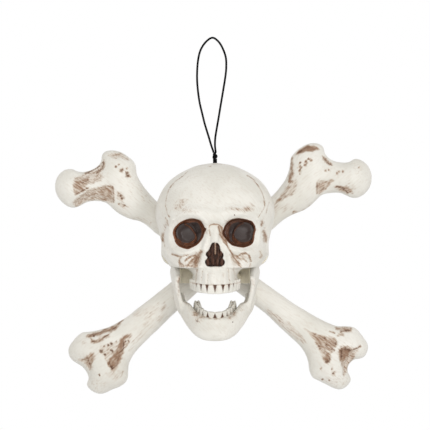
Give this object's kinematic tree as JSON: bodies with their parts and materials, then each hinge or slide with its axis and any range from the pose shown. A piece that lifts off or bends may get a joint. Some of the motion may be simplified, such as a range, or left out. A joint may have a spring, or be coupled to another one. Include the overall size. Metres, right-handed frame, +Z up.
{
  "type": "hanging skull and crossbones decoration",
  "caption": "Hollow skull with a hinged, hanging lower jaw on two crossed leg bones, held up by a thin cord loop from its crown.",
  "frame": {"origin": "where a hook bears, under the top of the cord loop", "axes": "+Z up, +X to the right as seen from the front, the face looks towards -Y"},
  "size_m": [0.3621, 0.129, 0.406],
  "materials": {
    "bone_plastic": "semi-gloss ivory with brown wash in the hollows",
    "socket_plastic": "glossy dark brown",
    "cord": "black waxed cord",
    "screw_steel": "zinc plated"
  },
  "bodies": {
    "skull": {"face_shell": "bone_plastic", "rear_shell": "bone_plastic", "eye_cup_left": "socket_plastic", "eye_cup_right": "socket_plastic", "jaw_screw_left": "screw_steel", "jaw_screw_right": "screw_steel", "shell_screw_1": "screw_steel", "shell_screw_2": "screw_steel", "shell_screw_3": "screw_steel", "shell_screw_4": "screw_steel", "bone_1_front_shell": "bone_plastic", "bone_1_rear_shell": "bone_plastic", "bone_2_front_shell": "bone_plastic", "bone_2_rear_shell": "bone_plastic", "bone_screw_1": "screw_steel", "bone_screw_2": "screw_steel", "bone_screw_3": "screw_steel", "bone_screw_4": "screw_steel", "hang_loop": "cord", "loop_knot": "cord", "cord_tail_left": "cord", "cord_tail_right": "cord", "stopper_knot": "cord"},
    "jaw": {"jaw": "bone_plastic"}
  },
  "joints": [
    {"name": "jaw_hinge", "type": "hinge", "parent": "skull", "child": "jaw", "pos_m": [0.0031, 0.001, -0.2467], "axis": [-1, 0, 0], "range_deg": [0, 17]}
  ]
}
